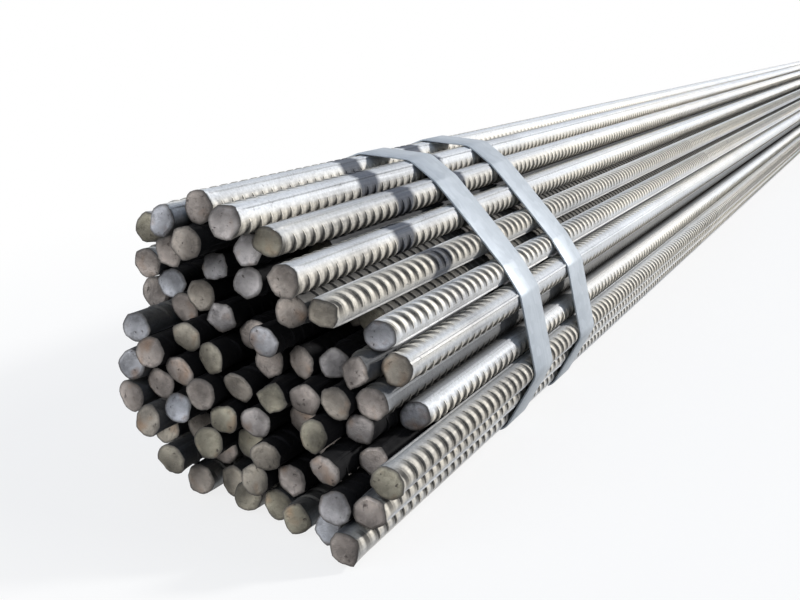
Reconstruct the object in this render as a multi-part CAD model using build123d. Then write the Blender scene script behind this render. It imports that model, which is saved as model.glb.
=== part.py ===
from build123d import *
import math
import os

import numpy as np

# A strapped bundle of reinforcing bars, lying on a level floor. The bars run along X.
# Sizes are in millimetres.

# Bars
BAR_DIAMETER = 12.0
BAR_LENGTH = 3000.0
BAR_COUNT = 84
BARS_PER_TIER = 9
RIB_SPACING = 0.7  # the ribs hold two neighbouring bars this far apart

# Bar ends: sheared to length and pushed home by hand, so they don't line up
END_STEP = 2.0
# steps that each bar is pushed in by, from the lowest bar up; the count starts again if there are more bars
PUSHED_IN = (
    (-11, -5, -4, 0, 1, 6, 4, -2, 9, 8, 15, 0, -1, -8)
    + (-7, 5, 2, -3, 8, -2, 5, -5, 2, -6, -5, 5, -2, -1)
    + (-3, 3, 13, -3, -3, -3, -1, -1, 0, 0, 0, 2, -2, -3)
    + (4, 5, 0, 6, 2, 6, -4, 19, 7, 0, -1, -2, 23, 17)
    + (7, 4, 7, 12, 21, 5, 10, 15, -4, -4, 19, 23, 9, 0)
    + (6, 17, 21, -8, 15, -1, -1, -4, 0, -4, 19, -4, -9, -1)
)

# Shape of the packed section: ratios to the bar pitch
LEAN_ANGLE = 62.65  # degrees from +Y to the long axis of the section
SECTION_ASPECT = 1.32  # long axis of the section over its short one
FLOOR_RATIO = 4.04  # from the middle of the loose bars down to the lowest row
BAR_WEIGHT = 0.56  # pull of gravity, beside the pull of the straps
LOOSE_RATIO = 1.11  # spread of the loose bars before the straps draw them in
PULL_STEPS = 300
PULL_RATE = 0.03
PUSHES_PER_PULL = 4
CLOSING_PUSHES = 800
PUSH_SHARE = 0.35
IN_LINE_SHARE = 1e-6

# Straps: two near each end, drawn taut round the section
STRAP_WIDTH = 25.0
STRAP_THICKNESS = 0.9
STRAP_CLEARANCE = 0.3
STRAP_INSET = 129.0  # bar end to the nearer edge of the first strap
STRAP_SPACING = 73.0  # first strap to the second, edge to like edge
STRAPS_PER_END = 2
LAP_LENGTH = 55.0  # the joined ends of a strap overlap by this much
LAP_RISE = 50.0  # floor to the lower end of the lap, on the +Y side

BAR_RADIUS = BAR_DIAMETER / 2
BAR_PITCH = BAR_DIAMETER + RIB_SPACING
SEAT = BAR_RADIUS + STRAP_CLEARANCE  # bar centre to the inner face of a strap
STRAP_OUTSIDE = SEAT + STRAP_THICKNESS
LAP_OUTSIDE = STRAP_OUTSIDE + STRAP_THICKNESS


def push_apart(centres):
    """Move every two bars that are closer than one pitch a little apart, and none below the floor."""
    offsets = centres[:, None] - centres[None]
    distances = np.linalg.norm(offsets, axis=2)
    np.fill_diagonal(distances, np.inf)
    overlaps = np.clip(1 - distances, 0, None) / distances
    moved = centres + PUSH_SHARE * (offsets * overlaps[..., None]).sum(axis=1)
    moved[:, 1] = np.maximum(moved[:, 1], -FLOOR_RATIO)
    return moved


def settled_centres():
    """Bar centres (y, z), from the lowest up: a loose sunflower of bars, drawn tight on the floor."""
    lean = math.radians(LEAN_ANGLE)
    turn = np.array([[math.cos(lean), -math.sin(lean)], [math.sin(lean), math.cos(lean)]])
    stretch = turn @ np.diag([SECTION_ASPECT**0.5, SECTION_ASPECT**-0.5]) @ turn.T
    pull = turn @ np.diag([1 / SECTION_ASPECT, SECTION_ASPECT]) @ turn.T
    weight = np.array([0, BAR_WEIGHT])
    number = np.arange(BAR_COUNT) + 0.5
    angle = number * math.pi * (3 - math.sqrt(5))  # the golden angle
    radius = LOOSE_RATIO * np.sqrt(number)
    centres = np.column_stack((radius * np.cos(angle), radius * np.sin(angle))) @ stretch
    for step in range(PULL_STEPS):
        rate = PULL_RATE * (1 - step / PULL_STEPS)
        centres = centres - rate * (centres @ pull + weight)
        for _ in range(PUSHES_PER_PULL):
            centres = push_apart(centres)
    for _ in range(CLOSING_PUSHES):
        centres = push_apart(centres)
    centres = centres * BAR_PITCH
    centres[:, 1] += STRAP_OUTSIDE - centres[:, 1].min()
    return sorted((tuple(map(float, centre)) for centre in centres), key=lambda c: (c[1], c[0]))


def hull_corners(centres):
    """Corners of the taut line round the bar centres, anticlockwise."""

    def is_straight(first, middle, last):
        """Tell whether the way from first to last doesn't turn left at middle."""
        ahead = (middle[0] - first[0]) * (last[1] - first[1])
        aside = (middle[1] - first[1]) * (last[0] - first[0])
        return ahead - aside <= IN_LINE_SHARE * BAR_PITCH**2

    def chain(ordered):
        """Walk along one side of the hull, without its last corner."""
        corners = []
        for centre in ordered:
            while len(corners) > 1 and is_straight(corners[-2], corners[-1], centre):
                corners.pop()
            corners.append(centre)
        return corners[:-1]

    ordered = sorted(centres)
    return chain(ordered) + chain(ordered[::-1])


def bar_shift(number):
    """How far a bar, counted from the lowest, is pushed in from the near end."""
    return END_STEP * PUSHED_IN[number % len(PUSHED_IN)]


def bar(centre, shift):
    """One bar, from its near end along +X."""
    section = Plane.YZ * Pos(*centre) * Circle(BAR_RADIUS)
    return (Pos(shift, 0, 0) * extrude(section, BAR_LENGTH)).solid()


def strap(corners, near_edge):
    """One strap: a taut band round the bars, its joined ends lapped on the +Y side."""
    core = Polygon(*corners, align=None)
    outside = offset(core, STRAP_OUTSIDE)
    band = outside - offset(core, SEAT)
    all_bars_abreast = BAR_COUNT * BAR_PITCH
    lap_window = Rectangle(all_bars_abreast, LAP_LENGTH, align=(Align.MIN, Align.MIN))
    lap = (offset(core, LAP_OUTSIDE) - outside) & Pos(0, LAP_RISE) * lap_window
    return Pos(near_edge, 0, 0) * extrude(Plane.YZ * (band + lap), STRAP_WIDTH)


def bundle():
    """Every named piece of the bundle, with its near end about x = 0."""
    centres = settled_centres()
    corners = hull_corners(centres)
    bars = [bar(centre, bar_shift(number)) for number, centre in enumerate(centres)]
    pieces = {}
    for first in range(0, BAR_COUNT, BARS_PER_TIER):
        name = f"bars_tier_{first // BARS_PER_TIER + 1:02d}"
        pieces[name] = Compound(bars[first : first + BARS_PER_TIER])
    for number in range(STRAPS_PER_END):
        inset = STRAP_INSET + number * STRAP_SPACING
        pieces[f"strap_near_{number + 1}"] = strap(corners, inset)
        pieces[f"strap_far_{number + 1}"] = strap(corners, BAR_LENGTH - inset - STRAP_WIDTH)
    return pieces


def main():
    """Stand the bundle on the middle of its base and write one file for each piece."""
    pieces = bundle()
    box = Compound(children=[Compound(piece.solids()) for piece in pieces.values()]).bounding_box()
    stand = Pos(-box.center().X, -box.center().Y, -box.min.Z)
    os.makedirs("parts", exist_ok=True)
    for name, piece in pieces.items():
        export_step(stand * piece, f"parts/{name}.step")


main()
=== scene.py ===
"""A strapped bundle of ribbed reinforcing bars, dressed for a pale studio floor."""

import logging
import math
from dataclasses import dataclass, field
from enum import Enum
from random import Random

import bmesh
import bpy
import numpy as np
from bmesh.types import BMesh, BMFace, BMVert
from bpy.types import ID, Material, Mesh, Node, NodeOutputs, NodeTree, Object
from bpy.types import NodeSocket as Socket
from mathutils import Matrix, Vector


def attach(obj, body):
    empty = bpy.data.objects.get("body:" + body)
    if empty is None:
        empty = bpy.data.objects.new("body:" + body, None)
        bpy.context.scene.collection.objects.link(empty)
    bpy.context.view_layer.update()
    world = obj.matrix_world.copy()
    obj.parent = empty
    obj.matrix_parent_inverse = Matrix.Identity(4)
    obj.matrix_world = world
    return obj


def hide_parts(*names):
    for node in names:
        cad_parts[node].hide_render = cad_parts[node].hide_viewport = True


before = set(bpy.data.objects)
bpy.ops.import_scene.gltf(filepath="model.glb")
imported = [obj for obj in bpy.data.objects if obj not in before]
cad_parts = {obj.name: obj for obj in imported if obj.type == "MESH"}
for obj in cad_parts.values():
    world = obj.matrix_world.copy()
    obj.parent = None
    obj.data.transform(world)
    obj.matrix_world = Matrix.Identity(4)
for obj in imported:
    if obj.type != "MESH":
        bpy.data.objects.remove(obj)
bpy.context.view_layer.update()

Colour = tuple[float, float, float, float]
Triple = tuple[float, float, float]
Span = tuple[float, float]
Floats = tuple[float, ...]

log = logging.getLogger("rebar_bundle")

BODY = "root"
MERGE_DISTANCE = 1e-6
PLACE_DIGITS = 5
SHARP_ANGLE = math.radians(32.0)
NO_BAND = -9.0  # the place of a dark band that a bar doesn't have, far off the bundle
WAVE_RATE = 20.0  # radians that a wave texture of scale 1 turns through in one metre
UNIT = (0.0, 1.0)
NOISE_CORE = (0.3, 0.7)  # where most of a noise lies
ALONG = Vector((1.0, 0.0, 0.0))
# the least share of a normal that faces the way asked for
END_FACING = 0.55
CAP_FACING = 0.9
SPINE_FACING = 0.999
LAP_FACING = 0.5


class Slot(Enum):
    """Names for material slots, which this script doesn't assign."""

    BARS = "bar_steel"
    STRAPS = "strap_steel"


class RibCut(Enum):
    """How finely a rib is modelled: its steps round the bar, and whether its crest is flat."""

    NEAR = (8, True)
    FAR = (4, False)


class Reach(Enum):
    """How much of a bar's length carries modelled ribs, and the number of its sides' finish."""

    WHOLE = 0
    ENDS = 2


class Graph:
    """Adds nodes to one node tree and wires them."""

    def __init__(self, tree: NodeTree) -> None:
        """Start with an empty tree."""
        self.tree = tree
        tree.nodes.clear()

    def add(self, kind: str, inputs: dict | None = None, **settings: object) -> Node:
        """Add one node.

        Args:
            kind: The node's type, without its ShaderNode prefix.
            inputs: Values or sockets for its inputs, by name or number.
            settings: Properties of the node.

        Returns:
            The new node.
        """
        kind = kind if kind.startswith("Node") else "ShaderNode" + kind
        node = self.tree.nodes.new(kind)
        for name, value in settings.items():
            setattr(node, name, value)
        for name, value in (inputs or {}).items():
            self.feed(node.inputs[name], value)
        return node

    def feed(self, socket: Socket, value: object) -> None:
        """Give an input a value, or link a socket to it.

        Args:
            socket: The input.
            value: A plain value, or the output of another node.
        """
        if isinstance(value, Socket):
            self.tree.links.new(value, socket)
        else:
            socket.default_value = value

    def maths(self, operation: str, *values: object) -> Socket:
        """Return the result of a Math node, clamped to no range."""
        node = self.add("Math", dict(enumerate(values)), operation=operation)
        return node.outputs[0]

    def times(self, first: object, second: object) -> Socket:
        """Return the product of two values."""
        return self.maths("MULTIPLY", first, second)

    def plus(self, first: object, second: object) -> Socket:
        """Return the sum of two values."""
        return self.maths("ADD", first, second)

    def most(self, first: object, second: object) -> Socket:
        """Return the larger of two values."""
        return self.maths("MAXIMUM", first, second)

    def span(self, value: object, given: Span, made: tuple[object, object]) -> Socket:
        """Carry a value from one range to another, held at the ends.

        Args:
            value: What is carried.
            given: The range that it comes from.
            made: The range that it goes to, as values or sockets.

        Returns:
            The new value's socket.
        """
        ends = {"From Min": given[0], "From Max": given[1], "To Min": made[0], "To Max": made[1]}
        return self.add("MapRange", {"Value": value, **ends}).outputs[0]

    def blend(self, share: object, under: object, over: object, kind: str = "MIX") -> Socket:
        """Go from one colour to another.

        Args:
            share: How much of the second colour shows, 0 to 1.
            under: The first colour.
            over: The second colour.
            kind: The blend type.

        Returns:
            The mixed colour's socket.
        """
        node = self.add("Mix", {0: share, 6: under, 7: over}, data_type="RGBA", blend_type=kind)
        return node.outputs[2]

    def shaded(self, colour: object, shade: Socket) -> Socket:
        """Return a colour times a plain value."""
        grey = self.add("CombineColor", {0: shade, 1: shade, 2: shade}).outputs[0]
        return self.blend(1.0, colour, grey, "MULTIPLY")

    def attribute(self, name: str) -> Socket:
        """Return the value of a mesh attribute."""
        return self.add("Attribute", attribute_name=name).outputs["Fac"]

    def noise(self, place: Socket, scale: object, detail: float, roughness: float = 0.5) -> Socket:
        """Return a cloudy pattern from about 0 to 1."""
        inputs = {"Vector": place, "Scale": scale, "Detail": detail, "Roughness": roughness}
        return self.add("TexNoise", inputs).outputs[0]

    def group(self, tree: NodeTree, place: Socket, **inputs: float) -> NodeOutputs:
        """Add one of the shared effects and return its outputs."""
        return self.add("Group", {"Vector": place, **inputs}, node_tree=tree).outputs


@dataclass
class ShaderGroups:
    """Effects that several finishes share, each built once."""

    streak_length: float = 0.12
    streak_width: float = 0.0016
    broad_scale: float = 0.22  # scale of the broad patches beside that of the thin lines
    broad_span: Span = (0.35, 0.65)
    pit_size: float = 0.0015
    pit_share: float = 0.4
    pit_edge: float = 0.72  # height of the skin above which pits open, where their share is 0
    pit_gain: float = 0.3
    pit_slope: float = 0.08
    streaks: NodeTree = field(init=False)
    pits: NodeTree = field(init=False)

    def __post_init__(self) -> None:
        """Build the groups."""
        self.streaks = self.drawn_streaks()
        self.pits = self.skin_pits()

    def start(self, name: str, inputs: dict[str, float], outputs: list[str]) -> tuple[Graph, Node, Node]:
        """Start a group with a vector input, some value inputs and some value outputs.

        Args:
            name: The group's name.
            inputs: First values of the value inputs, by name.
            outputs: Names of the outputs.

        Returns:
            The group's graph, its input node and its output node.
        """
        tree = bpy.data.node_groups.new(name, "ShaderNodeTree")
        graph = Graph(tree)
        tree.interface.new_socket("Vector", in_out="INPUT", socket_type="NodeSocketVector")
        for label, value in inputs.items():
            socket = tree.interface.new_socket(label, in_out="INPUT", socket_type="NodeSocketFloat")
            socket.default_value = value
        for label in outputs:
            tree.interface.new_socket(label, in_out="OUTPUT", socket_type="NodeSocketFloat")
        return graph, graph.add("NodeGroupInput"), graph.add("NodeGroupOutput")

    def drawn_streaks(self) -> NodeTree:
        """Draw out marks whose long way is X.

        Returns:
            A group that gives a thin line and a broad patch.
        """
        sizes = {"Length": self.streak_length, "Width": self.streak_width}
        graph, given, made = self.start("drawn_streaks", sizes, ["Fine", "Broad"])
        long_way = graph.maths("DIVIDE", 1.0, given.outputs["Length"])
        cross_way = graph.maths("DIVIDE", 1.0, given.outputs["Width"])
        scale = graph.add("CombineXYZ", {"X": long_way, "Y": cross_way, "Z": cross_way}).outputs[0]
        stretch = graph.add("VectorMath", {0: given.outputs["Vector"], 1: scale}, operation="MULTIPLY")
        fine = graph.noise(stretch.outputs[0], 1.0, 4.0, 0.6)
        broad = graph.noise(stretch.outputs[0], self.broad_scale, 2.0)
        graph.feed(made.inputs["Fine"], graph.span(fine, NOISE_CORE, UNIT))
        graph.feed(made.inputs["Broad"], graph.span(broad, self.broad_span, UNIT))
        return graph.tree

    def skin_pits(self) -> NodeTree:
        """Open small hollows in a rough skin.

        Returns:
            A group that gives their mask and the skin's height.
        """
        sizes = {"Size": self.pit_size, "Share": self.pit_share}
        graph, given, made = self.start("skin_pits", sizes, ["Mask", "Height"])
        scale = graph.maths("DIVIDE", 1.0, given.outputs["Size"])
        rough = graph.noise(given.outputs["Vector"], scale, 5.0, 0.62)
        edge = graph.maths("SUBTRACT", self.pit_edge, graph.times(given.outputs["Share"], self.pit_gain))
        mask = graph.span(graph.maths("SUBTRACT", rough, edge), (0.0, self.pit_slope), UNIT)
        graph.feed(made.inputs["Mask"], mask)
        graph.feed(made.inputs["Height"], graph.maths("SUBTRACT", rough, mask))
        return graph.tree


def along_bars(graph: Graph, place: Socket) -> Socket:
    """Return how far along the bars a point lies, from the middle of the bundle."""
    return graph.add("SeparateXYZ", {0: place}).outputs["X"]


def new_material(name: str) -> tuple[Material, Graph, Socket]:
    """Start a node material.

    Args:
        name: The material's name.

    Returns:
        The material, its graph and its Object coordinates, which are metres in the bundle's frame.
    """
    material = bpy.data.materials.new(name)
    material.use_nodes = True
    graph = Graph(material.node_tree)
    return material, graph, graph.add("TexCoord").outputs["Object"]


@dataclass(frozen=True)
class Finish:
    """What every finish has: pits, fine relief and some share of bare metal."""

    pit_size: float = 0.002
    pit_share: float = 0.3
    bump_strength: float = 0.4
    bump_depth: float = 0.00035
    metallic: float = 0.0
    specular: float = 0.5

    def close(self, graph: Graph, colour: Socket, roughness: Socket, height: Socket) -> None:
        """Wire the finish to the material's surface.

        Args:
            graph: The material's graph.
            colour: The surface's colour.
            roughness: How dull it is.
            height: Its fine relief.
        """
        relief = {"Strength": self.bump_strength, "Distance": self.bump_depth, "Height": height}
        inputs = {
            "Base Color": colour,
            "Roughness": roughness,
            "Metallic": self.metallic,
            "Specular IOR Level": self.specular,
            "Normal": graph.add("Bump", relief).outputs[0],
        }
        graph.add("OutputMaterial", {"Surface": graph.add("BsdfPrincipled", inputs).outputs[0]})


@dataclass(frozen=True)
class MillSkin(Finish):
    """Hot-rolled bar sides: silver-grey and cream, with thin scale, dirt and painted shade in the rib roots,
    and painted shade in the gaps between bars.
    """

    # silver-grey of the steel, tinted blue as a painted sky reflection on the smooth side of each bar
    silver: Colour = (0.636, 0.66, 0.69, 1.0)
    cream: Colour = (0.84, 0.792, 0.696, 1.0)
    scale: Colour = (0.264, 0.264, 0.276, 1.0)
    # near black, for dirt and painted shade at the ribs and painted shade in the gaps between bars
    soot_and_shade_colour: Colour = (0.012, 0.012, 0.014, 1.0)
    band: Colour = (0.045, 0.055, 0.08, 1.0)
    metallic: float = 0.18
    specular: float = 0.25
    roughness: Span = (0.48, 0.64)
    soot_shade_roughness: float = 0.35  # added where dirt, painted shade or a band lies
    streak_warmth: Span = (-0.3, 0.45)
    pit_size: float = 0.0021
    pit_share: float = 0.35
    pit_tone: float = 0.6
    patch_scale: float = 28.0
    patch_span: Span = (0.42, 0.68)
    patch_share: float = 0.75
    grain_scale: float = 900.0
    grain_tone: Span = (0.86, 1.1)
    # bars are lighter, with less scale and less darkening, up to the first distance from the bundle's middle,
    # and darker past the second
    lighter_middle: Span = (1.12, 1.42)
    middle_scale_share: float = 0.35  # share of the scale that the lighter middle stretch keeps
    middle_darkening_share: float = 0.62
    dullest: Span = (0.72, 1.02)  # shade of the dullest bar, towards the ends and in the lighter middle stretch
    brightest: float = 1.08
    band_width: float = 0.018
    band_edge: float = 0.004
    band_fade: Span = (0.97, 0.78)
    # where a root's dirt and painted shade begin and end before a rib, then after it, in rib pitches from the
    # rib
    near_root: Span = (0.48, 0.66)
    far_root: Span = (0.18, 0.30)
    far_root_soot_and_shade: float = 0.6
    root_span: Span = (0.3, 0.6)
    root_fade: Span = (1.0, 0.85)
    gap_shade_depths: Span = (0.0045, 0.0095)  # from which depth to which the gaps between bars get painted shade
    gap_shade: float = 0.84
    streak_height: float = 0.35
    grain_height: float = 0.5

    def band_mask(self, graph: Graph, place: Socket, name: str) -> Socket:
        """Mask one dark band across a bar.

        Args:
            graph: The material's graph.
            place: Object coordinates.
            name: The attribute that holds where the band's middle is.

        Returns:
            A mask from 0 to 1.
        """
        along = along_bars(graph, place)
        away = graph.maths("ABSOLUTE", graph.maths("SUBTRACT", along, graph.attribute(name)))
        half = self.band_width / 2
        return graph.span(away, (half - self.band_edge / 2, half + self.band_edge / 2), (1.0, 0.0))

    def root_shade_mask(self, graph: Graph) -> Socket:
        """Mask the dirt and painted shade at both feet of each rib, strongest half way round a crescent.

        Args:
            graph: The material's graph.

        Returns:
            A mask from 0 to 1.
        """
        turn = graph.maths("FRACT", graph.attribute("rib_turn"))
        near = graph.span(turn, self.near_root, UNIT)
        far = graph.span(turn, self.far_root, (self.far_root_soot_and_shade, 0.0))
        return graph.times(graph.most(near, far), graph.attribute("rib_swell"))

    def material(self, groups: ShaderGroups) -> Material:
        """Build the finish.

        Args:
            groups: The shared effects.

        Returns:
            The material.
        """
        material, graph, place = new_material("mill_skin")
        streaks = graph.group(groups.streaks, place)
        pits = graph.group(groups.pits, place, Size=self.pit_size, Share=self.pit_share)
        patches = graph.noise(place, self.patch_scale, 3.0)
        grain = graph.noise(place, self.grain_scale, 2.0)
        # lighter in the middle stretch of the bars, darker towards both ends
        middle_share = graph.span(graph.maths("ABSOLUTE", along_bars(graph, place)), self.lighter_middle, (1.0, 0.0))

        streak_warmth = graph.span(streaks["Broad"], UNIT, self.streak_warmth)
        warmth = graph.plus(graph.attribute("rib_swell"), streak_warmth)
        colour = graph.blend(graph.span(warmth, UNIT, UNIT), self.silver, self.cream)
        scaled = graph.times(graph.span(patches, self.patch_span, (0.0, self.patch_share)), streaks["Fine"])
        scaled = graph.times(scaled, graph.span(middle_share, UNIT, (1.0, self.middle_scale_share)))
        colour = graph.blend(scaled, colour, self.scale)
        colour = graph.blend(graph.times(pits["Mask"], self.pit_tone), colour, self.scale)
        dullest = graph.span(middle_share, UNIT, self.dullest)
        shade = graph.span(graph.attribute("bar_tint"), UNIT, (dullest, self.brightest))
        shade = graph.times(shade, graph.span(grain, NOISE_CORE, self.grain_tone))
        colour = graph.shaded(colour, shade)

        bands = graph.most(*(self.band_mask(graph, place, name) for name in ("band_1", "band_2")))
        bands = graph.times(bands, graph.span(streaks["Fine"], UNIT, self.band_fade))
        colour = graph.blend(bands, colour, self.band)
        # dirt and painted shade at the rib roots and on the ribs' near flanks
        roots = graph.times(self.root_shade_mask(graph), graph.span(patches, self.root_span, self.root_fade))
        soot_and_shade = graph.most(graph.attribute("soot_and_shade"), roots)
        soot_and_shade = graph.times(soot_and_shade, graph.span(middle_share, UNIT, (1.0, self.middle_darkening_share)))
        # painted shade in the gaps between bars, darkest deep under the bundle's outline
        gaps = graph.span(graph.attribute("depth"), self.gap_shade_depths, (0.0, self.gap_shade))
        soot_and_shade = graph.most(soot_and_shade, gaps)
        colour = graph.blend(soot_and_shade, colour, self.soot_and_shade_colour)

        roughness = graph.span(streaks["Fine"], UNIT, self.roughness)
        roughness = graph.plus(roughness, graph.times(graph.most(soot_and_shade, bands), self.soot_shade_roughness))
        height = graph.plus(graph.times(streaks["Fine"], self.streak_height), pits["Height"])
        height = graph.plus(height, graph.times(grain, self.grain_height))
        self.close(graph, colour, roughness, height)
        return material


@dataclass(frozen=True)
class InnerShade(Finish):
    """Sides of the bars inside the bundle: dull near-black painted shade that fades to grey along the bars.
    """

    # near-black painted shade, with lighter rubbed streaks
    scale: Colour = (0.006, 0.006, 0.007, 1.0)
    rub: Colour = (0.042, 0.041, 0.041, 1.0)
    faded_grey: Colour = (0.24, 0.24, 0.24, 1.0)
    wear: Span = (-1.2, 1.2)  # from where to where along X the painted shade fades to grey
    specular: float = 0.12
    roughness: Span = (0.7, 0.9)
    pit_size: float = 0.003
    rib_pitch: float = 0.007
    rib_height: float = 2.5
    bump_strength: float = 0.35

    def material(self, groups: ShaderGroups) -> Material:
        """Build the finish.

        Args:
            groups: The shared effects.

        Returns:
            The material.
        """
        material, graph, place = new_material("inner_painted_shade")
        streaks = graph.group(groups.streaks, place)
        pits = graph.group(groups.pits, place, Size=self.pit_size, Share=self.pit_share)
        colour = graph.blend(graph.times(streaks["Fine"], pits["Mask"]), self.scale, self.rub)
        colour = graph.blend(graph.span(along_bars(graph, place), self.wear, UNIT), colour, self.faded_grey)
        wave_scale = math.tau / WAVE_RATE / self.rib_pitch
        ribs = graph.add("TexWave", {"Vector": place, "Scale": wave_scale}).outputs["Fac"]
        height = graph.plus(graph.times(ribs, self.rib_height), pits["Height"])
        self.close(graph, colour, graph.span(streaks["Fine"], UNIT, self.roughness), height)
        return material


@dataclass(frozen=True)
class ShearedEnd(Finish):
    """Cut bar ends: taupe steel, blue-grey or olive on some bars, half torn, with specks of rust and painted
    shade round the rim.
    """

    taupe: Colour = (0.528, 0.45, 0.396, 1.0)
    blue_grey: Colour = (0.6, 0.6, 0.63, 1.0)
    olive: Colour = (0.384, 0.348, 0.252, 1.0)
    rust: Colour = (0.432, 0.24, 0.12, 1.0)
    # painted shade round the rim of each end
    rim: Colour = (0.05, 0.045, 0.04, 1.0)
    pit: Colour = (0.09, 0.07, 0.06, 1.0)
    metallic: float = 0.1
    blue_tints: Span = (0.6, 0.95)
    olive_tints: Span = (0.1, 0.4)
    olive_share: float = 0.9
    pit_size: float = 0.0024
    pit_tone: float = 0.8
    cloud_scale: float = 300.0
    cloud_shade: Span = (0.6, 1.3)
    stain_scale: float = 95.0
    rust_span: Span = (0.58, 0.74)
    rust_share: float = 0.6
    stain_span: Span = (0.32, 0.54)
    stain_shade: Span = (0.5, 1.1)
    torn_cloud: Span = (-0.5, 0.5)
    torn_span: Span = (-0.45, 0.45)
    torn_shade: Span = (1.15, 0.55)
    torn_rough_span: Span = (-0.35, 0.35)
    roughness: Span = (0.48, 0.7)
    cloud_height: float = 1.5
    bump_strength: float = 0.7
    bump_depth: float = 0.0008

    def material(self, groups: ShaderGroups) -> Material:
        """Build the finish.

        Args:
            groups: The shared effects.

        Returns:
            The material.
        """
        material, graph, place = new_material("sheared_end")
        pits = graph.group(groups.pits, place, Size=self.pit_size, Share=self.pit_share)
        tint = graph.attribute("bar_tint")
        cloud = graph.noise(place, self.cloud_scale, 4.0, 0.65)
        stain = graph.noise(place, self.stain_scale, 2.0)
        colour = graph.blend(graph.span(tint, self.blue_tints, UNIT), self.taupe, self.blue_grey)
        colour = graph.blend(graph.span(tint, self.olive_tints, (self.olive_share, 0.0)), colour, self.olive)
        colour = graph.blend(graph.span(stain, self.rust_span, (0.0, self.rust_share)), colour, self.rust)
        torn = graph.plus(graph.attribute("torn"), graph.span(cloud, NOISE_CORE, self.torn_cloud))
        shade = graph.span(torn, self.torn_span, self.torn_shade)
        shade = graph.times(shade, graph.span(cloud, NOISE_CORE, self.cloud_shade))
        shade = graph.times(shade, graph.span(stain, self.stain_span, self.stain_shade))
        colour = graph.shaded(colour, shade)
        colour = graph.blend(graph.times(pits["Mask"], self.pit_tone), colour, self.pit)
        # painted shade round the rim of each end
        colour = graph.blend(graph.attribute("soot_and_shade"), colour, self.rim)
        height = graph.plus(pits["Height"], graph.times(cloud, self.cloud_height))
        self.close(graph, colour, graph.span(torn, self.torn_rough_span, self.roughness), height)
        return material


@dataclass(frozen=True)
class GalvanisedStrap(Finish):
    """Bright zinc-coated strapping with rolling lines along it and a few dull rubs."""

    zinc: Colour = (0.414, 0.456, 0.504, 1.0)
    dull: Colour = (0.24, 0.276, 0.318, 1.0)
    rub: Colour = (0.288, 0.3, 0.312, 1.0)
    metallic: float = 0.3
    roughness: Span = (0.46, 0.58)
    line_length: float = 0.05
    line_width: float = 0.0009
    line_tone: float = 0.22
    line_height: float = 0.15
    pit_size: float = 0.006
    pit_share: float = 0.25
    pit_tone: float = 0.5
    spangle_scale: float = 240.0
    spangle_share: float = 0.35
    wave_scale: float = 45.0
    wave_height: float = 6.0
    bump_strength: float = 0.3
    bump_depth: float = 0.0005

    def material(self, groups: ShaderGroups) -> Material:
        """Build the finish.

        Args:
            groups: The shared effects.

        Returns:
            The material.
        """
        material, graph, place = new_material("galvanised_strap")
        # a strap runs across X, so its lines are long in Y and Z and thin in X
        lines = graph.group(groups.streaks, place, Length=self.line_width, Width=self.line_length)["Fine"]
        pits = graph.group(groups.pits, place, Size=self.pit_size, Share=self.pit_share)
        spangle = graph.add("TexVoronoi", {"Vector": place, "Scale": self.spangle_scale}).outputs["Color"]
        mottle = graph.add("SeparateColor", {0: spangle}).outputs[0]
        colour = graph.blend(graph.span(mottle, UNIT, (0.0, self.spangle_share)), self.zinc, self.dull)
        colour = graph.blend(graph.times(lines, self.line_tone), colour, self.dull)
        colour = graph.blend(graph.times(pits["Mask"], self.pit_tone), colour, self.rub)
        wave = graph.noise(place, self.wave_scale, 1.0)
        height = graph.plus(graph.times(wave, self.wave_height), graph.times(lines, self.line_height))
        self.close(graph, colour, graph.span(lines, UNIT, self.roughness), height)
        return material


@dataclass(frozen=True)
class BarPlace:
    """Where one bar of the frame lies: its axis and its two ends."""

    y: float
    z: float
    near: float
    far: float


@dataclass(frozen=True)
class BarLook:
    """What sets one bar apart from the next."""

    roll: float
    phase: float
    bar_tint: float
    band_1: float
    band_2: float
    reach: Reach


def crease(shape: BMesh) -> None:
    """Shade a shape smooth, apart from its sharp edges.

    Args:
        shape: What is shaded.
    """
    for face in shape.faces:
        face.smooth = True
    for edge in shape.edges:
        edge.smooth = edge.is_manifold and edge.calc_face_angle() < SHARP_ANGLE


def mark_points(mesh: Mesh, name: str, values: np.ndarray) -> None:
    """Write one value for each of a mesh's points to a new attribute."""
    mark = mesh.attributes.new(name, "FLOAT", "POINT")
    mark.data.foreach_set("value", values.astype(np.float32))


def points_of(mesh: Mesh) -> np.ndarray:
    """Read a mesh's points.

    Args:
        mesh: The mesh.

    Returns:
        The points, one to a row.
    """
    flat = np.empty(3 * len(mesh.vertices), dtype=np.float32)
    mesh.vertices.foreach_get("co", flat)
    return flat.reshape(-1, 3)


def mesh_from(shape: BMesh, name: str) -> Mesh:
    """Write a shape to a new mesh and free it.

    Args:
        shape: The shape, which isn't used again.
        name: The mesh's name.

    Returns:
        The new mesh.
    """
    mesh = bpy.data.meshes.new(name)
    shape.to_mesh(mesh)
    shape.free()
    return mesh


def linked(name: str, data: ID) -> Object:
    """Add an object to the scene.

    Args:
        name: The object's name.
        data: Its mesh, lamp or camera.

    Returns:
        The new object.
    """
    thing = bpy.data.objects.new(name, data)
    bpy.context.scene.collection.objects.link(thing)
    return thing


def finished_piece(shape: BMesh, name: str, node: str, finishes: list[Material]) -> Object:
    """Make a shape a piece of the bundle.

    Args:
        shape: The piece's shape, at its place.
        name: The piece's name.
        node: The frame's node that it stands for.
        finishes: Its materials, in the order of its faces' numbers.

    Returns:
        The new object.
    """
    mesh = mesh_from(shape, name)
    for finish in finishes:
        mesh.materials.append(finish)
    piece = linked(name, mesh)
    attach(piece, BODY)
    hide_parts(node)
    triangles = sum(len(face.vertices) - 2 for face in mesh.polygons)
    log.info("%s stands for %s with %d triangles", name, node, triangles)
    return piece


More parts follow.
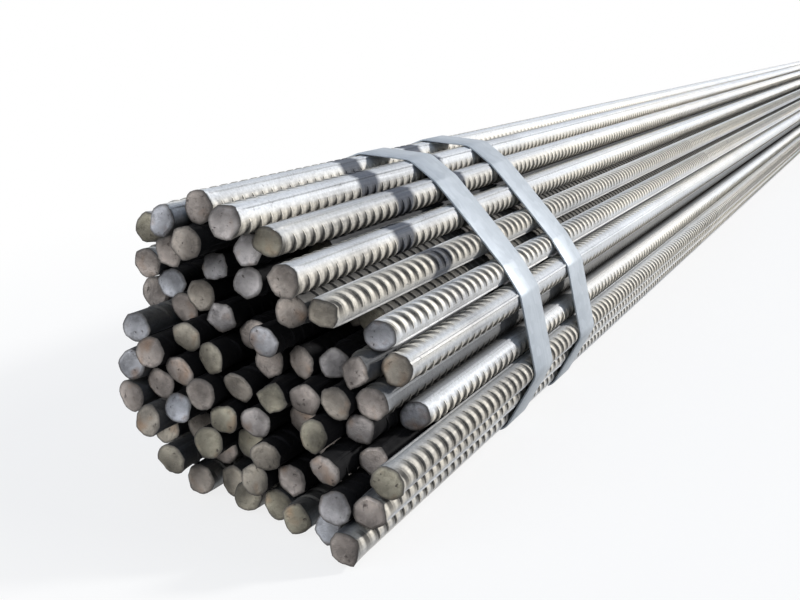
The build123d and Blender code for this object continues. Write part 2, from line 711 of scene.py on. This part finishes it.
def arrayed(mesh: Mesh, count: int, step: float) -> Mesh:
    """Repeat a mesh along X.

    Args:
        mesh: What is repeated.
        count: How many there are.
        step: From one to the next, in metres.

    Returns:
        One mesh with all of them.
    """
    carrier = linked("rib_row", mesh)
    row = carrier.modifiers.new("row", "ARRAY")
    row.count = count
    row.use_relative_offset = False
    row.use_constant_offset = True
    row.constant_offset_displace = (step, 0.0, 0.0)
    depsgraph = bpy.context.evaluated_depsgraph_get()
    whole = bpy.data.meshes.new_from_object(carrier.evaluated_get(depsgraph))
    bpy.data.objects.remove(carrier)
    return whole


@dataclass
class RibbedBars:
    """The bars of the bundle: ribbed along their sides, sheared at both ends."""

    finishes: list[Material]  # of the outer bars' sides, the ends and the inner bars' sides, which are painted shade
    core_radius: float = 0.0058
    sides: int = 24
    rib_height: float = 0.0008
    rib_foot: float = 0.0026
    rib_crest: float = 0.0011
    rib_pitch: float = 0.007
    rib_reach: float = math.radians(120.0)
    rib_lean: float = 0.0043
    rib_sink: float = 0.00015
    rib_merge: float = 0.000015
    rib_swell_power: float = 0.85
    rib_start: float = 0.005
    # dirt and painted shade across a rib, from the foot that faces the near end; the darkest values, on the
    # near flank, are painted shade
    near_rib_soot_and_shade: Floats = (1.0, 0.35, 0.0, 0.4)
    far_rib_soot_and_shade: Floats = (1.0, 0.1, 0.4)
    clear_turn: float = 0.35  # in rib pitches from a rib, where no root dirt or painted shade lies
    near_ribs: int = 90
    all_ribs: int = 425
    end_ribs: int = 10
    spine_height: float = 0.0006
    spine_narrowing: float = 0.6
    spine_way: float = 90.0  # which way the long ribs of an unturned bar face, in degrees
    end_loops: Floats = (0.0012, 0.004, 0.010)
    end_depth: float = 0.010
    rim: float = 0.0012
    rim_rise: float = 0.00045
    # how dark the painted shade at the rim of each end is
    rim_shade: float = 0.95
    inner_rim: Span = (0.001, 0.0018)
    dish: Span = (-0.0005, 0.0004)
    dent: float = 0.00022
    crush: Span = (0.02, 0.16)
    crush_spread: float = 0.4
    tilt: float = 0.2
    corners: tuple[int, ...] = (4, 5, 6, 6)
    squareness: Span = (0.25, 0.8)
    ragged_counts: tuple[int, ...] = (3, 5, 8)
    ragged_size: Span = (0.008, 0.03)
    roll_over: float = 0.0022  # how far the edge that the blade met is rolled over
    roll_over_from: float = 0.35  # where that begins, in radii from the middle
    mean_side: float = 0.94
    end_swell: float = 0.10
    seed: int = 11
    exposure_steps: int = 120
    outer_share: float = 0.05
    roll_jitter: float = 9.0
    # longitudinal ribs face this way (third value, degrees) on bars between two angles round the section
    turned_sides: tuple[Triple, ...] = (
        (60, 126, 124),
        (126, 168, 225),
        (168, 190, 150),
        (190, 200, 120),
        (200, 240, 62),
    )
    # dark bands: angle range round the section, then the distances of the two bands from the near end
    banded_sides: tuple[Floats, ...] = (
        (72, 77, 0.109, 0.177),
        (92, 97, 0.082, 0.152),
        (105, 108, 0.095, 0.155),
        (121, 125, 0.072, NO_BAND),
        (140, 145, 0.086, NO_BAND),
    )
    places: dict[str, list[BarPlace]] = field(init=False)
    sleeves: dict[Reach, Mesh] = field(init=False)
    centres: np.ndarray = field(init=False)
    middle: np.ndarray = field(init=False)
    near_plane: float = field(init=False)
    ways: np.ndarray = field(init=False)  # directions square to the bars

    def __post_init__(self) -> None:
        """Read the bars' places from the frame and cut the ribs."""
        nodes = [node for node in sorted(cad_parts) if node.startswith("bars_tier")]
        self.places = {node: self.bars_of(node) for node in nodes}
        bars = [bar for tier in self.places.values() for bar in tier]
        self.centres = np.array([(bar.y, bar.z) for bar in bars])
        self.middle = self.centres.mean(axis=0)
        self.near_plane = float(np.median([bar.near for bar in bars]))
        angles = np.linspace(0.0, math.tau, self.exposure_steps, endpoint=False)
        self.ways = np.column_stack((np.cos(angles), np.sin(angles)))
        near_rib, far_rib = self.rib(RibCut.NEAR), self.rib(RibCut.FAR)
        far_count = self.all_ribs - self.near_ribs
        last = self.all_ribs - self.end_ribs
        whole = [(near_rib, 0, self.near_ribs), (far_rib, self.near_ribs, far_count)]
        ends = [(near_rib, 0, self.end_ribs), (far_rib, last, self.end_ribs)]
        self.sleeves = {Reach.WHOLE: self.sleeve(whole), Reach.ENDS: self.sleeve(ends)}

    def bars_of(self, node: str) -> list[BarPlace]:
        """Read the bars of one node.

        Args:
            node: A node of the frame that holds several bars.

        Returns:
            The place of each bar, from the lowest up.
        """
        shape = bmesh.new()
        shape.from_mesh(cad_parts[node].data)
        bmesh.ops.remove_doubles(shape, verts=shape.verts, dist=MERGE_DISTANCE)
        waiting = set(shape.verts)
        found = []
        while waiting:
            island = {waiting.pop()}
            reached = list(island)
            while reached:
                joined = {vert for edge in reached.pop().link_edges for vert in edge.verts} - island
                island |= joined
                reached.extend(joined)
            waiting -= island
            points = np.array([vert.co for vert in island])
            y, z = points[:, 1:].mean(axis=0)
            found.append(BarPlace(float(y), float(z), float(points[:, 0].min()), float(points[:, 0].max())))
        shape.free()
        return sorted(found, key=lambda bar: (round(bar.z, PLACE_DIGITS), bar.y))

    def rib(self, cut: RibCut) -> Mesh:
        """Model one crescent rib, spun round the bar on its local +Y side.

        Args:
            cut: How finely.

        Returns:
            The closed rib, with its foot sunk in the core.
        """
        steps, has_flat_crest = cut.value
        foot, crest = self.rib_foot / 2, self.rib_crest / 2
        flank = foot - crest
        low, high = self.core_radius - self.rib_sink, self.core_radius + self.rib_height
        if has_flat_crest:
            outline = zip((-foot, -crest, crest, foot), (low, high, high, low), self.near_rib_soot_and_shade)
        else:
            outline = zip((-flank, 0.0, flank), (low, high, low), self.far_rib_soot_and_shade)
        shape = bmesh.new()
        soot_and_shade = shape.verts.layers.float.new("soot_and_shade")
        start = Matrix.Rotation(-self.rib_reach / 2, 4, "X")
        verts = []
        # each point of the outline carries its share of dirt and painted shade
        for along, radius, dark in outline:
            vert = shape.verts.new(start @ Vector((along - self.rib_lean / 2, radius, 0.0)))
            vert[soot_and_shade] = dark
            verts.append(vert)
        edges = [shape.edges.new(pair) for pair in zip(verts, verts[1:] + verts[:1])]
        bmesh.ops.spin(
            shape,
            geom=verts + edges,
            cent=(0.0, 0.0, 0.0),
            axis=ALONG,
            dvec=(self.rib_lean / steps, 0.0, 0.0),
            angle=self.rib_reach,
            steps=steps,
        )
        for vert in shape.verts:
            share = math.atan2(vert.co.z, vert.co.y) / self.rib_reach + 0.5
            swell = max(0.0, math.sin(math.pi * min(max(share, 0.0), 1.0))) ** self.rib_swell_power
            middle = self.rib_lean * (share - 0.5)
            radius = math.hypot(vert.co.y, vert.co.z)
            scale = (low + (radius - low) * swell) / radius
            vert.co = (middle + (vert.co.x - middle) * swell, vert.co.y * scale, vert.co.z * scale)
            vert[soot_and_shade] *= swell
        bmesh.ops.remove_doubles(shape, verts=shape.verts, dist=self.rib_merge)
        bmesh.ops.recalc_face_normals(shape, faces=shape.faces)
        crease(shape)
        return mesh_from(shape, "rib")

    def sleeve(self, runs: list[tuple[Mesh, int, int]]) -> Mesh:
        """Set rows of ribs on both sides of a bar.

        Args:
            runs: For each stretch, its rib, the first rib's number and the count.

        Returns:
            All the ribs of one bar, from x = 0.
        """
        across = Matrix.Translation((self.rib_pitch / 2, 0.0, 0.0)) @ Matrix.Rotation(math.pi, 4, "X")
        shape = bmesh.new()
        for rib, first, count in runs:
            row = arrayed(rib, count, self.rib_pitch)
            for move in (Matrix.Translation((first * self.rib_pitch, 0.0, 0.0)), across):
                row.transform(move)
                shape.from_mesh(row)
            bpy.data.meshes.remove(row)
        return mesh_from(shape, "rib_sleeve")

    def core(self, length: float, dice: Random) -> Mesh:
        """Model one bar without its crescent ribs, from x = 0.

        Args:
            length: The bar's length.
            dice: Draws the wear of its ends.

        Returns:
            A round bar with two longitudinal ribs and sheared ends.
        """
        shape = bmesh.new()
        # the first layer holds the painted shade at the rim of each end and on the ribs, the second which
        # half of an end is torn
        for name in ("soot_and_shade", "torn"):
            shape.verts.layers.float.new(name)
        turn = Matrix.Rotation(math.pi / 2, 4, "Y") @ Matrix.Rotation(math.pi / self.sides, 4, "Z")
        size = {"segments": self.sides, "radius": self.core_radius}
        bmesh.ops.create_circle(shape, cap_ends=True, matrix=turn, **size)
        grown = bmesh.ops.extrude_face_region(shape, geom=shape.faces[:], use_keep_orig=True)
        moved = [item for item in grown["geom"] if isinstance(item, BMVert)]
        bmesh.ops.translate(shape, verts=moved, vec=(length, 0.0, 0.0))
        bmesh.ops.recalc_face_normals(shape, faces=shape.faces)
        flanks = [face for face in shape.faces if abs(face.normal.z) > SPINE_FACING]
        for face in bmesh.ops.extrude_discrete_faces(shape, faces=flanks)["faces"]:
            for vert in face.verts:
                vert.co.z += math.copysign(self.spine_height, vert.co.z)
                vert.co.y *= self.spine_narrowing
        for inset in self.end_loops:
            for along in (inset, length - inset):
                everything = shape.verts[:] + shape.edges[:] + shape.faces[:]
                bmesh.ops.bisect_plane(shape, geom=everything, plane_co=(along, 0, 0), plane_no=ALONG)
        for place, outward in ((0.0, -1.0), (length, 1.0)):
            self.shear(shape, place, outward, dice)
        for face in shape.faces:
            face.material_index = int(abs(face.normal.x) > END_FACING)
        crease(shape)
        return mesh_from(shape, "bar_core")

    def rim_cap(self, shape: BMesh, place: float, outward: float, dice: Random) -> None:
        """Give the end face of a bar a rim of painted shade, a raised ring and a dented middle.

        Args:
            shape: The bar's shape.
            place: The end's x.
            outward: Which way the end faces along X, -1 or 1.
            dice: Draws the wear.
        """
        facing = [face for face in shape.faces if face.normal.x * outward > CAP_FACING]
        caps = [face for face in facing if abs(face.calc_center_median().x - place) < MERGE_DISTANCE]
        cap = max(caps, key=lambda face: len(face.verts))
        soot_and_shade = shape.verts.layers.float["soot_and_shade"]
        # painted shade on the outer ring of the end face
        for vert in cap.verts:
            vert[soot_and_shade] = self.rim_shade
        bmesh.ops.inset_region(shape, faces=[cap], thickness=self.rim)
        for vert in cap.verts:
            vert.co.x += outward * self.rim_rise
            vert[soot_and_shade] = 0.0
        bmesh.ops.inset_region(shape, faces=[cap], thickness=dice.uniform(*self.inner_rim))
        dish = dice.uniform(*self.dish)
        for vert in cap.verts:
            vert.co.x += outward * (dish + dice.uniform(-self.dent, self.dent))

    def shear(self, shape: BMesh, place: float, outward: float, dice: Random) -> None:
        """Shear one end of a bar: a tilted, rounded and slightly crushed face.

        Args:
            shape: The bar's shape.
            place: The end's x.
            outward: Which way the end faces along X, -1 or 1.
            dice: Draws the wear.
        """
        self.rim_cap(shape, place, outward, dice)
        blade = dice.uniform(0.0, math.tau)
        across = Vector((0.0, math.cos(blade), math.sin(blade)))
        crush = dice.uniform(*self.crush)
        tilt = dice.uniform(-self.tilt, self.tilt)
        half = math.pi / dice.choice(self.corners)
        squareness = dice.uniform(*self.squareness)
        twist = dice.uniform(0.0, math.tau)
        waves = []
        for count in self.ragged_counts:
            waves.append((count, dice.uniform(*self.ragged_size), dice.uniform(0.0, math.tau)))
        torn = shape.verts.layers.float["torn"]
        for vert in shape.verts:
            inward = (place - vert.co.x) * outward
            if inward > self.end_depth - MERGE_DISTANCE:
                continue
            ease = min(1.0, 1.0 - inward / self.end_depth) ** 2
            flat = Vector((0.0, vert.co.y, vert.co.z))
            proud = max(0.0, flat.length - self.core_radius)
            flat *= 1.0 - ease * proud / max(flat.length, self.core_radius)
            height = flat.dot(across)
            angle = math.atan2(flat.z, flat.y)
            side = math.cos(half) / math.cos((angle + twist) % (2 * half) - half)
            ragging = sum(size * math.sin(count * angle + start) for count, size, start in waves)
            swell = 1.0 + ease * (self.end_swell + squareness * (side - self.mean_side) + ragging)
            vert[torn] = height / self.core_radius
            spread = swell + self.crush_spread * crush * ease
            flat = (flat - across * height * crush * ease) * spread
            rolled = max(0.0, height / self.core_radius - self.roll_over_from) ** 2 * self.roll_over
            vert.co = (vert.co.x + ease * (tilt * height - outward * rolled), flat.y, flat.z)

    def mark_roots(self, core: Mesh, phase: float) -> None:
        """Count the rib pitches along a bar's core, for the dirt and painted shade at the ribs' feet.

        Args:
            core: The bar without its ribs, from x = 0.
            phase: How far its first rib is from where ribs start.
        """
        points = points_of(core)
        angle = np.arctan2(points[:, 2], points[:, 1])
        is_back = np.abs(angle) > math.pi / 2
        share = (angle - np.where(is_back, np.copysign(math.pi, angle), 0.0)) / self.rib_reach
        first = self.rib_start + phase + is_back * self.rib_pitch / 2 + share * self.rib_lean
        mark_points(core, "rib_turn", (points[:, 0] - first) / self.rib_pitch)
        mark_points(core, "rib_swell", np.clip(np.cos(math.pi * share), 0.0, 1.0))

    def exposure(self, bar: BarPlace) -> float:
        """Measure how far a bar shows from outside.

        Args:
            bar: The bar.

        Returns:
            The share of directions, square to the bars, in which nothing hides it.
        """
        offsets = self.centres - (bar.y, bar.z)
        offsets = offsets[np.linalg.norm(offsets, axis=1) > self.core_radius]
        ahead = offsets @ self.ways.T
        ways_y, ways_z = self.ways.T
        aside = np.abs(np.outer(offsets[:, 0], ways_z) - np.outer(offsets[:, 1], ways_y))
        hidden = ((ahead > 0) & (aside < self.core_radius)).any(axis=0)
        return 1.0 - float(hidden.mean())

    def depths(self, points: np.ndarray) -> np.ndarray:
        """Return how deep points lie inside the taut line round all the bars."""
        reach = (self.centres @ self.ways.T).max(axis=0) + self.core_radius
        return (reach - points[:, 1:] @ self.ways.T).min(axis=1)

    def look(self, bar: BarPlace, dice: Random) -> BarLook:
        """Choose how one bar is turned and marked.

        Args:
            bar: The bar.
            dice: Draws what its place doesn't settle.

        Returns:
            The bar's look.
        """
        around = math.degrees(math.atan2(bar.z - self.middle[1], bar.y - self.middle[0])) % 360.0
        is_outer = self.exposure(bar) > self.outer_share
        roll = dice.uniform(0.0, 360.0)
        jitter = dice.uniform(-self.roll_jitter, self.roll_jitter)
        bands = (NO_BAND, NO_BAND)
        if is_outer:
            for low, high, facing in self.turned_sides:
                if low <= around < high:
                    roll = facing + jitter
            for low, high, *marks in self.banded_sides:
                if low <= around < high:
                    bands = tuple(mark if mark == NO_BAND else self.near_plane + mark for mark in marks)
        return BarLook(
            roll=math.radians(roll - self.spine_way),
            phase=dice.uniform(0.0, self.rib_pitch),
            bar_tint=dice.random(),
            band_1=bands[0],
            band_2=bands[1],
            reach=Reach.WHOLE if is_outer else Reach.ENDS,
        )

    def tier(self, node: str, dice: Random) -> Object:
        """Build and dress the bars of one node.

        Args:
            node: The frame's node.
            dice: Draws the bars' looks.

        Returns:
            The piece that stands for the node.
        """
        shape = bmesh.new()
        for bar in self.places[node]:
            look = self.look(bar, dice)
            core = self.core(bar.far - bar.near, dice)
            self.mark_roots(core, look.phase)
            sleeve = self.sleeves[look.reach].copy()
            for name, value in (("rib_turn", self.clear_turn), ("rib_swell", 1.0)):
                mark_points(sleeve, name, np.full(len(sleeve.vertices), value))
            sleeve.transform(Matrix.Translation((self.rib_start + look.phase, 0.0, 0.0)))
            stand = Matrix.Translation((bar.near, bar.y, bar.z)) @ Matrix.Rotation(look.roll, 4, "X")
            for mesh in (core, sleeve):
                mesh.transform(stand)
                # depth under the bundle's outline, which sets the painted shade in the gaps between bars
                mark_points(mesh, "depth", self.depths(points_of(mesh)))
                for name in ("bar_tint", "band_1", "band_2"):
                    mark_points(mesh, name, np.full(len(mesh.vertices), getattr(look, name)))
                # bars hidden inside the bundle take the painted-shade finish on their sides
                for face in mesh.polygons:
                    face.material_index = face.material_index or look.reach.value
                shape.from_mesh(mesh)
                bpy.data.meshes.remove(mesh)
        number = node.rsplit("_", 1)[1]
        return finished_piece(shape, f"ribbed_bars_{number}", node, self.finishes)

    def build(self) -> None:
        """Build every tier of bars."""
        dice = Random(self.seed)
        for node in sorted(self.places):
            self.tier(node, dice)


@dataclass
class Strapping:
    """The straps: taut bands with eased edges, their laps locked by pressed tongues."""

    finish: Material
    edge: float = 0.00018
    edge_steps: int = 2
    edge_angle: float = math.radians(60.0)
    tongue: Triple = (0.004, 0.007, 0.00055)
    tongue_sink: float = 0.0001
    tongue_lip: float = 1.2  # height of a tongue's low end, beside the depth that it is sunk
    lap_heights: Span = (0.0495, 0.1055)
    tongue_rows: Floats = (-0.010, 0.0, 0.010)
    tongue_columns: Floats = (-0.0055, 0.0055)

    def band(self, node: str) -> Object:
        """Build and dress one strap.

        Args:
            node: The frame's node.

        Returns:
            The piece that stands for the node.
        """
        shape = bmesh.new()
        shape.from_mesh(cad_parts[node].data)
        bmesh.ops.remove_doubles(shape, verts=shape.verts, dist=MERGE_DISTANCE)
        for face in shape.faces:
            face.material_index = 0
        joints = [edge for edge in shape.edges if edge.is_manifold]
        bmesh.ops.bevel(
            shape,
            geom=[edge for edge in joints if edge.calc_face_angle() > self.edge_angle],
            offset=self.edge,
            offset_type="OFFSET",
            segments=self.edge_steps,
            profile=0.5,
            affect="EDGES",
            material=-1,
            clamp_overlap=True,
        )
        self.press_tongues(shape, max(filter(self.is_on_lap, shape.faces), key=lambda face: face.calc_area()))
        crease(shape)
        return finished_piece(shape, f"{node}_band", node, [self.finish])

    def is_on_lap(self, face: BMFace) -> bool:
        """Tell whether a face is on the outside of a strap's lap.

        Args:
            face: A face of a strap.

        Returns:
            Whether it faces +Y on that side, between the lap's heights.
        """
        low, high = self.lap_heights
        heights = [vert.co.z for vert in face.verts]
        is_outside = face.normal.y > LAP_FACING and face.calc_center_median().y > 0
        return is_outside and min(heights) > low and max(heights) < high

    def press_tongues(self, shape: BMesh, lap: BMFace) -> None:
        """Lock a strap's lap with tongues that rise from its outer face.

        Args:
            shape: The strap's shape.
            lap: The flat of the lap that they are pressed into.
        """
        out = lap.normal.copy()
        middle = lap.calc_center_median() - out * self.tongue_sink
        turn = Matrix((ALONG, out.cross(ALONG), out)).transposed().to_4x4()
        wide, tall, rise = self.tongue
        lip = self.tongue_sink * self.tongue_lip
        for row in self.tongue_rows:
            for column in self.tongue_columns:
                stand = Matrix.Translation(middle) @ turn @ Matrix.Translation((column, row, 0.0))
                for vert in bmesh.ops.create_cube(shape, size=1.0)["verts"]:
                    top = rise if vert.co.y > 0 else lip
                    height = top if vert.co.z > 0 else 0.0
                    vert.co = stand @ Vector((vert.co.x * wide, vert.co.y * tall, height))

    def build(self) -> None:
        """Build every strap."""
        for node in sorted(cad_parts):
            if node.startswith("strap"):
                self.band(node)


@dataclass(frozen=True)
class Lamp:
    """One far lamp."""

    name: str
    come_from: Triple  # where its light comes from, seen from the bundle
    strength: float
    angle: float  # how wide it looks, which softens its shadows
    colour: Triple

    def hang(self) -> None:
        """Add the lamp to the scene."""
        data = bpy.data.lights.new(self.name, "SUN")
        data.energy = self.strength
        data.angle = self.angle
        data.color = self.colour
        linked(self.name, data).rotation_euler = Vector(self.come_from).to_track_quat("Z", "Y").to_euler()


@dataclass
class Studio:
    """Floor, light and camera."""

    floor_size: float = 30.0
    floor_drop: float = 0.0004
    floor_white: Colour = (0.92, 0.92, 0.92, 1.0)
    floor_bounce: Colour = (0.10, 0.098, 0.095, 1.0)
    white: Colour = (1.0, 1.0, 1.0, 1.0)
    shadow_share: float = 0.2
    shadow_sides: Span = (0.16, 0.5)
    shadow_ends: Span = (1.54, 1.75)
    zenith: Colour = (0.255, 0.334, 0.458, 1.0)
    horizon: Colour = (0.171, 0.171, 0.171, 1.0)
    sky_heights: Span = (0.0, 0.8)
    key: Lamp = Lamp("key", (0.60, -0.68, 0.40), 3.44, math.radians(6.0), (1.0, 0.975, 0.94))
    fill: Lamp = Lamp("fill", (-0.88, 0.42, 0.20), 1.68, math.radians(60.0), (0.96, 0.98, 1.0))
    camera_place: Triple = (-1.8420, -0.2157, 0.1806)
    camera_turn: Triple = (math.radians(76.36), 0.0, math.radians(-64.9))
    lens: float = 49.5
    clip_start: float = 0.01

    def seen(self, graph: Graph) -> Socket:
        """Tell the rays that show the background: from the camera, mirrored or passed through.

        Args:
            graph: The graph of a material or of the world.

        Returns:
            1 for such a ray, else 0.
        """
        rays = graph.add("LightPath").outputs
        shown = graph.most(rays["Is Camera Ray"], rays["Is Glossy Ray"])
        return graph.most(shown, rays["Is Transmission Ray"])

    def floor(self) -> None:
        """Lay a white floor that keeps the bundle's shadow."""
        shape = bmesh.new()
        drop = Matrix.Translation((0, 0, -self.floor_drop))
        bmesh.ops.create_grid(shape, x_segments=1, y_segments=1, size=self.floor_size / 2, matrix=drop)
        mesh = mesh_from(shape, "studio_floor")
        material, graph, place = new_material("studio_white")
        axes = graph.add("SeparateXYZ", {0: place}).outputs
        fade = (self.shadow_share, 0.0)
        across = graph.span(graph.maths("ABSOLUTE", axes["Y"]), self.shadow_sides, fade)
        along = graph.span(graph.maths("ABSOLUTE", axes["X"]), self.shadow_ends, fade)
        kept = graph.maths("SUBTRACT", 1.0, graph.maths("MINIMUM", across, along))
        seen = self.seen(graph)
        tone = graph.blend(seen, self.floor_bounce, self.floor_white)
        lit = graph.add("BsdfDiffuse", {"Color": tone}).outputs[0]
        bright = graph.add("Emission", {"Color": self.white, "Strength": 1.0}).outputs[0]
        mixed = graph.add("MixShader", {0: graph.times(seen, kept), 1: lit, 2: bright}).outputs[0]
        graph.add("OutputMaterial", {"Surface": mixed})
        mesh.materials.append(material)
        floor = linked("studio_floor", mesh)

    def world(self) -> None:
        """Light from all round: cool from above, neutral from the sides, white to the eye."""
        world = bpy.data.worlds.new("studio")
        bpy.context.scene.world = world
        world.use_nodes = True
        graph = Graph(world.node_tree)
        up = graph.add("SeparateXYZ", {0: graph.add("TexCoord").outputs["Generated"]}).outputs["Z"]
        sky = graph.blend(graph.span(up, self.sky_heights, UNIT), self.horizon, self.zenith)
        colour = graph.blend(self.seen(graph), sky, self.white)
        background = graph.add("Background", {"Color": colour, "Strength": 1.0}).outputs[0]
        graph.add("OutputWorld", {"Surface": background})

    def camera(self) -> None:
        """Place the camera where the photograph was taken."""
        data = bpy.data.cameras.new("camera")
        data.lens = self.lens
        data.clip_start = self.clip_start
        camera = linked("camera", data)
        camera.location = self.camera_place
        camera.rotation_euler = self.camera_turn
        bpy.context.scene.camera = camera

    def build(self) -> None:
        """Set up the studio."""
        bpy.context.scene.view_settings.view_transform = "Standard"
        self.floor()
        self.world()
        self.key.hang()
        self.fill.hang()
        self.camera()


def main() -> None:
    """Build the bundle piece by piece, then the studio round it."""
    logging.basicConfig(level=logging.INFO, format="%(message)s")
    groups = ShaderGroups()
    RibbedBars([finish.material(groups) for finish in (MillSkin(), ShearedEnd(), InnerShade())]).build()
    Strapping(GalvanisedStrap().material(groups)).build()
    Studio().build()


if __name__ == "__main__":
    main()
